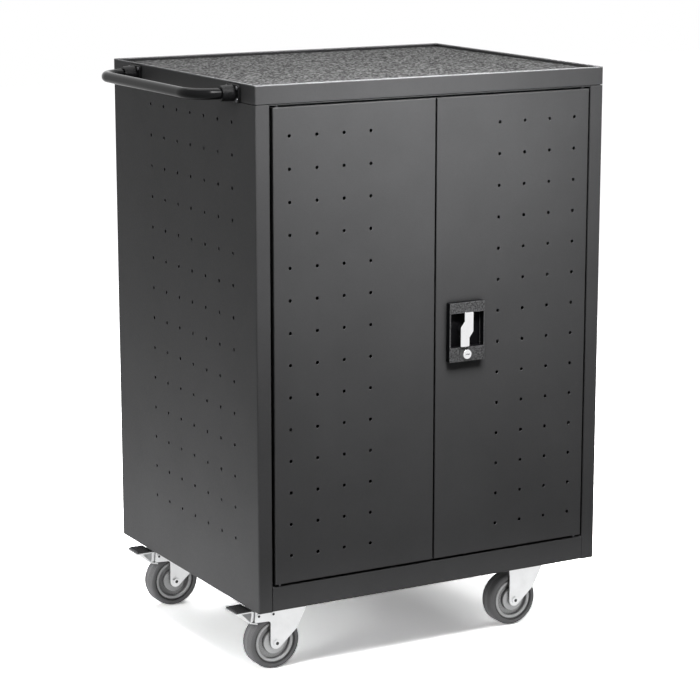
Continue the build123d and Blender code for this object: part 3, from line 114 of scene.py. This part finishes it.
class Finish(Tree):
    """One procedural material in object coordinates, which are the model's own frame."""

    def __init__(self, name):
        self.material = bpy.data.materials.new(name)
        self.material.use_nodes = True
        super().__init__(self.material.node_tree)
        self.shader = self.tree.nodes["Principled BSDF"]
        self.place = self.add("ShaderNodeTexCoord").outputs["Object"]

    def along(self, axis):
        """The place along one axis."""
        return self.add("ShaderNodeSeparateXYZ", Vector=self.place).outputs[axis]

    def noise(self, scale, detail=3.0, roughness=0.6, stretch=None):
        vector = self.place
        if stretch:
            vector = self.add("ShaderNodeMapping", Vector=self.place, Scale=stretch).outputs["Vector"]
        node = self.add("ShaderNodeTexNoise", Vector=vector, Scale=scale, Detail=detail, Roughness=roughness)
        return node.outputs["Fac"]

    def ramp(self, value, low, high, start=0.3, end=0.7):
        """Colour or grey between low and high as value goes from start to end."""
        node = self.add("ShaderNodeValToRGB", Fac=value)
        for element, position, colour in zip(node.color_ramp.elements, (start, end), (low, high)):
            element.position = position
            element.color = rgba(colour)
        return node.outputs["Color"]

    def tint(self, value, colour, low, high, start=0.3, end=0.7):
        """Colour between low times and high times itself as value goes from start to end."""
        return self.ramp(value, scaled(colour, low), scaled(colour, high), start, end)

    def vary(self, value, low, high):
        """Number between low and high as value goes from 0.3 to 0.7."""
        return self.rescale(value, 0.3, 0.7, low, high)

    def blend(self, amount, first, second, kind="MIX"):
        """Colour that goes from first to second as amount goes from 0 to 1."""
        node = self.add("ShaderNodeMix", {"data_type": "RGBA", "blend_type": kind}, Factor=amount, A=first, B=second)
        return node.outputs["Result"]

    def multiply(self, first, second):
        return self.blend(1.0, first, second, "MULTIPLY")

    def edges(self, radius):
        """Mask for painted edge highlights: 1 along rounded and sharp edges, 0 on flat faces."""
        soft = self.add("ShaderNodeBevel", {"samples": 6}, Radius=radius)
        flat = self.add("ShaderNodeNewGeometry")
        match = self.add("ShaderNodeVectorMath", {"operation": "DOT_PRODUCT"})
        self.put(match, 0, soft.outputs["Normal"])
        self.put(match, 1, flat.outputs["True Normal"])
        return self.rescale(match.outputs["Value"], 0.985, 0.80)

    def painted_recess_shade(self, distance, dark):
        """Painted shade: 1 in the open, going down to dark in recesses."""
        node = self.add("ShaderNodeAmbientOcclusion", {"samples": 4}, Distance=distance)
        return self.ramp(node.outputs["AO"], dark, 1.0, 0.25, 0.85)

    def relief(self, height, distance, strength):
        """Fine relief on top of softened edges."""
        soft = self.add("ShaderNodeBevel", {"samples": 4}, Radius=0.0006)
        node = self.add(
            "ShaderNodeBump", Height=height, Strength=strength, Distance=distance, Normal=soft.outputs["Normal"]
        )
        self.put(self.shader, "Normal", node.outputs["Normal"])

    def finish(self, **inputs):
        for key, value in inputs.items():
            self.put(self.shader, key.replace("_", " "), value)
        return self.material


def powder_coat(name, colour, roughness, edge=2.2, highlight_radius=0.0012, above=None):
    """Fine pebbled paint: a little cloudiness in tone, pebbles about a millimetre across, painted shade in recesses,
    and painted highlights along the edges, edge times as light (only on edges higher than above, where it is given)."""
    n = Finish(name)
    cloud = n.tint(n.noise(6.0, 4.0), colour, 0.93, 1.07)
    speck = n.ramp(n.noise(1500.0, 2.0), 0.86, 1.10)
    # painted shade in recesses and gaps
    paint = n.multiply(n.multiply(cloud, speck), n.painted_recess_shade(0.012, 0.1))
    n.relief(n.noise(950.0, 2.5, 0.55), 0.00012, 0.9)
    # painted highlight along the edges
    highlight_rim = n.edges(highlight_radius)
    if above is not None:
        highlight_rim = n.combine("MULTIPLY", highlight_rim, n.rescale(n.along("Z"), above, above + 0.0005))
    return n.finish(
        Base_Color=n.blend(highlight_rim, paint, rgba(scaled(colour, edge))),
        Roughness=n.vary(n.noise(420.0, 2.0), roughness - 0.06, roughness + 0.08),
        Specular_IOR_Level=0.08,
    )


def speckled_mat(name):
    """Grey rubber sheet with fine light and dark specks and faint lengthwise streaks."""
    n = Finish(name)
    specks = n.ramp(n.noise(215.0, 2.0), 0.001, 0.2, 0.493, 0.557)
    streaks = n.ramp(n.noise(1.0, stretch=(9.0, 160.0, 9.0)), 0.90, 1.08)
    n.relief(n.noise(1300.0, 2.0), 0.00015, 0.7)
    return n.finish(
        Base_Color=n.multiply(specks, streaks),
        Roughness=n.vary(n.noise(700.0, 2.0), 0.62, 0.8),
        Specular_IOR_Level=0.15,
    )


def highlit_face_shaded_lining(name, face, recess, depth):
    """Pebbled face with a painted highlight along its edges, and everything further back than depth (in Y) in smooth
    black, which stands partly for the cup's black lining and partly for painted shade on the plate's sides.
    """
    n = Finish(name)
    # the black behind the face is partly painted shade
    behind = n.rescale(n.along("Y"), depth, depth + 0.0004)
    speck = n.tint(n.noise(300.0, 4.0, 0.85), face, 0.25, 2.0, 0.42, 0.58)
    # painted highlight along the face's edges
    highlit_face = n.blend(n.edges(0.0012), speck, rgba(scaled(face, 3.2)))
    n.relief(n.noise(800.0, 2.5, 0.55), 0.00015, 0.8)
    return n.finish(
        Base_Color=n.blend(behind, highlit_face, rgba(recess)),
        Roughness=n.vary(n.noise(420.0, 2.0), 0.36, 0.5),
        Specular_IOR_Level=n.rescale(behind, to_low=0.25, to_high=0.04),
    )


def enamel(name, colour, roughness):
    """Smooth gloss paint with a slight ripple."""
    n = Finish(name)
    n.relief(n.noise(160.0, 2.0), 0.00004, 0.4)
    return n.finish(
        Base_Color=n.tint(n.noise(25.0), colour, 0.8, 1.25),
        Roughness=n.vary(n.noise(60.0), roughness - 0.03, roughness + 0.06),
        Specular_IOR_Level=0.12,
    )


def wrinkled(name, colour):
    """Black paint with a coarse wrinkle that glints."""
    n = Finish(name)
    folds = n.noise(420.0, 3.0, 0.7)
    n.relief(folds, 0.0007, 1.0)
    return n.finish(
        Base_Color=n.tint(folds, colour, 0.5, 2.0, 0.4, 0.6),
        Roughness=n.vary(n.noise(300.0, 2.0), 0.25, 0.4),
        Specular_IOR_Level=0.12,
    )


def metal(name, colour, roughness, mottle=0.06):
    """Bare or plated metal with drawn grain and uneven sheen."""
    n = Finish(name)
    n.relief(n.noise(1.0, stretch=(40.0, 40.0, 900.0)), 0.00002, 0.5)
    return n.finish(
        Base_Color=n.tint(n.noise(45.0, 4.0), colour, 1 - mottle, 1 + mottle),
        Metallic=1.0,
        Roughness=n.vary(n.noise(90.0, 4.0), roughness * 0.75, roughness * 1.35),
    )


def moulded(name, colour, roughness, recess_shade_low=1.0):
    """Moulded plastic or rubber with a fine even skin; a shade level under 1 paints shade into its recesses."""
    n = Finish(name)
    tone = n.tint(n.noise(30.0, 4.0), colour, 0.88, 1.12)
    # painted shade in the recesses
    if recess_shade_low < 1.0:
        tone = n.multiply(tone, n.painted_recess_shade(0.012, recess_shade_low))
    n.relief(n.noise(700.0, 2.0), 0.00006, 0.6)
    return n.finish(Base_Color=tone, Roughness=n.vary(n.noise(120.0), roughness - 0.07, roughness + 0.07))


cart_grey = (0.088, 0.088, 0.090)
# height above which the lid's edges get a painted highlight
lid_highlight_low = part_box("top_lid")[1].z - 0.0026
lock_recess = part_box("lock_case")[0].y + 0.0006
finishes = {
    "cabinet_paint": powder_coat("cabinet_paint", cart_grey, 0.46),
    # the lid's top edges get a strong painted highlight
    "lid_paint": powder_coat("lid_paint", cart_grey, 0.46, edge=9.0, highlight_radius=0.0045, above=lid_highlight_low),
    "divider_paint": powder_coat("divider_paint", (0.075, 0.075, 0.078), 0.5),
    "mat_rubber": speckled_mat("mat_rubber"),
    "gloss_black": enamel("gloss_black", (0.005, 0.005, 0.0055), 0.12),
    "wrinkle_black": wrinkled("wrinkle_black", (0.007, 0.007, 0.0075)),
    "dark_screws": metal("dark_screws", (0.10, 0.10, 0.105), 0.35),
    # lock case: painted edge highlight, and black behind its face that is partly painted shade
    "lock_black": highlit_face_shaded_lining("lock_black", (0.075, 0.075, 0.077), (0.006, 0.006, 0.007), lock_recess),
    "chrome": metal("chrome", (0.95, 0.95, 0.96), 0.16, mottle=0.02),
    "zinc": metal("zinc", (0.88, 0.885, 0.89), 0.36, mottle=0.05),
    "black_plastic": moulded("black_plastic", (0.022, 0.022, 0.024), 0.45),
    "switch_plastic": moulded("switch_plastic", (0.03, 0.03, 0.034), 0.25),
    # the wheel cores and tyres get painted shade in their recesses
    "wheel_grey": moulded("wheel_grey", (0.82, 0.825, 0.83), 0.36, recess_shade_low=0.14),
    "tyre_rubber": moulded("tyre_rubber", (0.18, 0.18, 0.183), 0.5, recess_shade_low=0.2),
    "pedal_black": moulded("pedal_black", (0.03, 0.03, 0.032), 0.4),
}

slot_of = {entry["node"]: entry["material_slot"] for entry in frame["record"]["subparts"]}
slot_of["top_lid"] = "lid_paint"
slot_of["handle_brackets"] = "wrinkle_black"
for corner in casters:
    slot_of[corner + "_axle"] = "zinc"
for name, obj in nodes.items():
    finish = finishes[slot_of[name]]
    if not obj.material_slots:
        obj.data.materials.append(finish)
    for slot in obj.material_slots:
        slot.material = finish


# Small detail pieces


def new_object(name, bm):
    """Object of the mesh built in bm."""
    mesh = bpy.data.meshes.new(name)
    bm.to_mesh(mesh)
    bm.free()
    obj = bpy.data.objects.new(name, mesh)
    scene.collection.objects.link(obj)
    return obj


def lathe(name, profile, place, axis, finish, segments):
    """Object turned from a (radius, height) profile in millimetres, standing along axis at place."""
    smooth_angle = 0.6
    bm = bmesh.new()
    rings = []
    for radius, height in profile:
        if radius == 0:
            rings.append([bm.verts.new((0, 0, height * millimetre))])
            continue
        ring = []
        for step in range(segments):
            angle = 2 * math.pi * step / segments
            reach = radius * millimetre
            ring.append(bm.verts.new((reach * math.cos(angle), reach * math.sin(angle), height * millimetre)))
        rings.append(ring)
    for lower, upper in zip(rings, rings[1:]):
        for step in range(segments):
            after = (step + 1) % segments
            low_pair = [lower[step % len(lower)], lower[after % len(lower)]]
            high_pair = [upper[after % len(upper)], upper[step % len(upper)]]
            face = list(dict.fromkeys(low_pair + high_pair))
            if len(face) > 2:
                bm.faces.new(face)
    bmesh.ops.remove_doubles(bm, verts=bm.verts, dist=1e-6)
    bmesh.ops.recalc_face_normals(bm, faces=bm.faces)
    for edge in bm.edges:
        edge.smooth = len(edge.link_faces) == 2 and edge.calc_face_angle() < smooth_angle
    turn = Vector(axis).to_track_quat("Z", "Y").to_matrix().to_4x4()
    bm.transform(Matrix.Translation(Vector(place)) @ turn)
    obj = new_object(name, bm)
    for face in obj.data.polygons:
        face.use_smooth = True
    obj.data.materials.append(finish)
    return obj


def block(name, size, place, turn):
    """Box with its size in millimetres, turned about X: used only to cut recesses."""
    bm = bmesh.new()
    bmesh.ops.create_cube(bm, size=1.0)
    stretch = Matrix.Diagonal((*[length * millimetre for length in size], 1))
    bm.transform(Matrix.Translation(Vector(place)) @ Matrix.Rotation(turn, 4, "X") @ stretch)
    return new_object(name, bm)


def cut(obj, cutters):
    """Takes the cutters out of obj and deletes them."""
    for cutter in cutters:
        modifier = obj.modifiers.new("cut", "BOOLEAN")
        modifier.operation = "DIFFERENCE"
        modifier.solver = "EXACT"
        modifier.object = cutter
    bpy.context.view_layer.update()
    evaluated = obj.evaluated_get(bpy.context.evaluated_depsgraph_get())
    mesh = bpy.data.meshes.new_from_object(evaluated)
    obj.modifiers.clear()
    obj.data = mesh
    for cutter in cutters:
        bpy.data.objects.remove(cutter)


def join(name, pieces, body):
    """One object made of the pieces, riding on a body."""
    bm = bmesh.new()
    for piece in pieces:
        bm.from_mesh(piece.data)
    obj = new_object(name, bm)
    obj.data.materials.append(pieces[0].data.materials[0])
    for piece in pieces:
        bpy.data.objects.remove(piece)
    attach(obj, body)
    return obj


# Pan-head screws with a cross recess, in place of the handle's plain ones
screw_low, screw_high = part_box("handle_screws")
head_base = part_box("handle_brackets")[0].x + 0.0210
screw_radius = 3.2
arm_half = 0.0175  # half the distance between a bracket's screws, across
rise_half = 0.0095  # and upwards
cross_depth = 0.0018
cross_bars = ((2.0, 3.6, 0.8), (2.0, 0.8, 3.6))
pan_head = [(0, -3.0), (1.4, -3.0), (1.4, 0), (screw_radius, 0), (screw_radius, 0.6)]
pan_head += [(2.9, 1.2), (2.2, 1.7), (1.2, 1.95), (0, 2.0)]
first_arm = screw_low.y + screw_radius * millimetre + arm_half
last_arm = screw_high.y - screw_radius * millimetre - arm_half
screws = []
for arm_y in (first_arm, last_arm):
    for side_y in (-arm_half, arm_half):
        for side_z in (-rise_half, rise_half):
            place = Vector((head_base, arm_y + side_y, (screw_low.z + screw_high.z) / 2 + side_z))
            screw = lathe("screw", pan_head, place, (-1, 0, 0), finishes["dark_screws"], 40)
            tip = place + Vector((-cross_depth, 0, 0))
            turn = 0.5 + 40 * (side_y + side_z)  # each is left at its own angle
            cut(screw, [block("bar", size, tip, turn) for size in cross_bars])
            screws.append(screw)
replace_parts(join("handle_screw_heads", screws, "cabinet"), "handle_screws")


# Tyres with fine grooves round the shoulders and the tread, in place of the plain ones (in millimetres)
tyre_low, tyre_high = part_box("fl_tyre")
core_low, core_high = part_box("fl_wheel_core")
tyre_radius = (tyre_high.x - tyre_low.x) / 2 / millimetre
tyre_half = (tyre_high.y - tyre_low.y) / 2 / millimetre
seat_radius = (core_high.x - core_low.x) / 2 / millimetre
seat_half = 12.5
flank_radius = seat_radius + 2.1
flank_chamfer = 1.0
shoulder = 6.0
shoulder_steps = 8
shoulder_grooves = (3, 6)  # steps of the shoulder with a slit
tread_grooves = (8.4, 4.6)  # distances of the tread's grooves from the middle
groove_half = 0.6
groove_floor_half = 0.2
groove_depth = 0.8
half_tyre = [(seat_radius, seat_half), (flank_radius, seat_half)]
half_tyre += [(flank_radius, tyre_half - flank_chamfer), (flank_radius + flank_chamfer, tyre_half)]
for step in range(shoulder_steps + 1):
    angle = math.pi / 2 * step / shoulder_steps
    reach = tyre_radius - shoulder + shoulder * math.sin(angle)
    across = tyre_half - shoulder + shoulder * math.cos(angle)
    if step in shoulder_grooves:
        half_tyre += [(reach - 0.1, across + 0.2), (reach - 0.9, across - 0.2)]
    half_tyre.append((reach, across))
for across in tread_grooves:
    half_tyre.append((tyre_radius, across + groove_half))
    half_tyre.append((tyre_radius - groove_depth, across + groove_floor_half))
    half_tyre.append((tyre_radius - groove_depth, across - groove_floor_half))
    half_tyre.append((tyre_radius, across - groove_half))
tyre_profile = half_tyre + [(reach, -across) for reach, across in reversed(half_tyre)] + half_tyre[:1]
for corner in casters:
    low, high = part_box(corner + "_tyre")
    ring = lathe("ring", tyre_profile, (low + high) / 2, (0, 1, 0), finishes["tyre_rubber"], 96)
    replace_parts(join(corner + "_grooved_tyre", [ring], corner + "_wheel"), corner + "_tyre")


# Black discs in the axle heads, and in the heads of the rivets on the braked forks: painted shade in their dimples
rivet_shade_disc = [(0, 0.05), (1.0, 0.08), (1.4, 0.2), (1.8, 0.25), (2.2, 0.1), (2.3, -0.1)]
axle_shade_disc = [(0, 0.05), (1.5, 0.08), (1.9, 0.25), (2.4, 0.3), (2.8, 0.1), (2.9, -0.1)]
rivets_behind_axle = (0.033, 0.006)
rivet_z = 0.098


def shade_disc_pair(profile, x, low_y, high_y, z):
    """Black discs of painted shade on both outer sides of a fork."""
    pair = []
    for face_y, side in ((low_y, -1), (high_y, 1)):
        # the black finish here is painted shade
        pair.append(lathe("dimple", profile, (x, face_y, z), (0, side, 0), finishes["black_plastic"], 24))
    return pair


for corner in casters:
    low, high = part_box(corner + "_axle")
    middle = (low + high) / 2
    dimples = shade_disc_pair(axle_shade_disc, middle.x, low.y, high.y, middle.z)
    if corner in braked_casters:
        fork_low, fork_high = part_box(corner + "_fork")
        for behind in rivets_behind_axle:
            dimples += shade_disc_pair(rivet_shade_disc, middle.x - behind, fork_low.y, fork_high.y, rivet_z)
    join(corner + "_dimples", dimples, corner + "_swivel")


# Floor, light and camera


def make_floor():
    """Plain white floor, white to the camera away from the cart's shadow, and darker to diffuse light so that
    it doesn't fill the shadows in."""
    half_side = 9.0
    gap_under_wheels = 0.0005
    shadow_reach, white_reach = 0.55, 1.9
    shadow_glow, white_glow = 0.15, 1.0
    mirrored_glow = 0.85
    bounced_shade, seen_shade = 0.18, 4.0
    bm = bmesh.new()
    bmesh.ops.create_grid(bm, x_segments=1, y_segments=1, size=half_side)
    obj = new_object("floor", bm)
    obj.location = (0, 0, -gap_under_wheels)
    material = bpy.data.materials.new("floor")
    material.use_nodes = True
    material.node_tree.nodes.clear()
    n = Tree(material.node_tree)
    ray = n.add("ShaderNodeLightPath").outputs
    reflected = n.combine("MAXIMUM", ray["Is Glossy Ray"], ray["Is Transmission Ray"])
    far = n.add("ShaderNodeVectorMath", {"operation": "LENGTH"})
    n.put(far, 0, n.add("ShaderNodeTexCoord").outputs["Object"])
    fade = n.rescale(far.outputs["Value"], shadow_reach, white_reach, shadow_glow, white_glow, "SMOOTHSTEP")
    seen = n.combine("MULTIPLY", ray["Is Camera Ray"], fade)
    level = n.combine("MAXIMUM", n.combine("MULTIPLY", reflected, mirrored_glow), seen)
    glow = n.add("ShaderNodeEmission", Strength=level)
    shade = n.rescale(ray["Is Camera Ray"], to_low=bounced_shade, to_high=seen_shade)
    diffuse = n.add("ShaderNodeBsdfDiffuse", Color=shade)
    both = n.add("ShaderNodeAddShader")
    n.put(both, 0, diffuse.outputs["BSDF"])
    n.put(both, 1, glow.outputs["Emission"])
    n.add("ShaderNodeOutputMaterial", Surface=both.outputs["Shader"])
    obj.data.materials.append(material)


def make_world(light):
    """White to the camera, to reflections and through glass, and a soft even light elsewhere."""
    world = bpy.data.worlds.new("studio")
    scene.world = world
    world.use_nodes = True
    n = Tree(world.node_tree)
    back = world.node_tree.nodes["Background"]
    ray = n.add("ShaderNodeLightPath").outputs
    mirrored = n.combine("MAXIMUM", ray["Is Camera Ray"], ray["Is Glossy Ray"])
    white = n.combine("MAXIMUM", mirrored, ray["Is Transmission Ray"])
    n.put(back, "Color", rgba(1.0))
    n.put(back, "Strength", n.rescale(white, to_low=light, to_high=1.0))


def area_light(name, place, target, size, power, spread=180.0, mirrored=True):
    """Rectangular lamp at place, turned to target; power in watts, spread in degrees."""
    light = bpy.data.lights.new(name, "AREA")
    light.spread = math.radians(spread)
    light.shape = "RECTANGLE"
    light.size, light.size_y = size
    light.energy = power
    obj = bpy.data.objects.new(name, light)
    obj.location = place
    obj.rotation_mode = "QUATERNION"
    obj.rotation_quaternion = (Vector(target) - Vector(place)).to_track_quat("-Z", "Y")
    obj.visible_camera = False
    obj.visible_glossy = mirrored
    scene.collection.objects.link(obj)


make_floor()
make_world(0.045)
area_light("key", (-0.08, -0.78, 1.45), (-0.02, -0.27, 0.82), (0.8, 0.45), 4.6, 80.0)
area_light("front low", (0.0, -1.25, 0.05), (0.0, -0.2, 0.05), (1.5, 0.05), 0.26, 18.0, mirrored=False)
area_light("top", (0.1, 0.3, 2.8), (0.0, 0.0, 0.9), (2.2, 1.8), 24.0)
area_light("low side", (-0.80, 0.05, 0.03), (-0.33, 0.05, 0.12), (1.1, 0.06), 2.9, mirrored=False)
area_light("left", (-1.25, -0.2, 0.40), (-0.3, 0.0, 0.0), (1.6, 0.15), 0.4, 36.0, mirrored=False)
area_light("back", (0.4, 1.7, 1.5), (0.0, 0.27, 0.6), (1.4, 0.8), 14.0, mirrored=False)
area_light("right", (1.7, 0.1, 1.3), (0.33, 0.0, 0.6), (1.2, 0.8), 10.0, mirrored=False)

# Camera fitted to the photo: lens in pixels, turns in radians
image_size = 700
focal_pixels = 2413.7
sensor_width = 36.0
yaw = -0.51175
pitch = 0.20927
camera_data = bpy.data.cameras.new("camera")
camera_data.sensor_fit = "HORIZONTAL"
camera_data.sensor_width = sensor_width
camera_data.lens = sensor_width * focal_pixels / image_size
camera = bpy.data.objects.new("camera", camera_data)
camera.location = (-2.0407, -3.6183, 1.3575)
aim = Vector((-math.sin(yaw) * math.cos(pitch), math.cos(yaw) * math.cos(pitch), -math.sin(pitch)))
camera.rotation_mode = "QUATERNION"
camera.rotation_quaternion = aim.to_track_quat("-Z", "Y")
scene.collection.objects.link(camera)
scene.camera = camera
scene.view_settings.view_transform = "Standard"
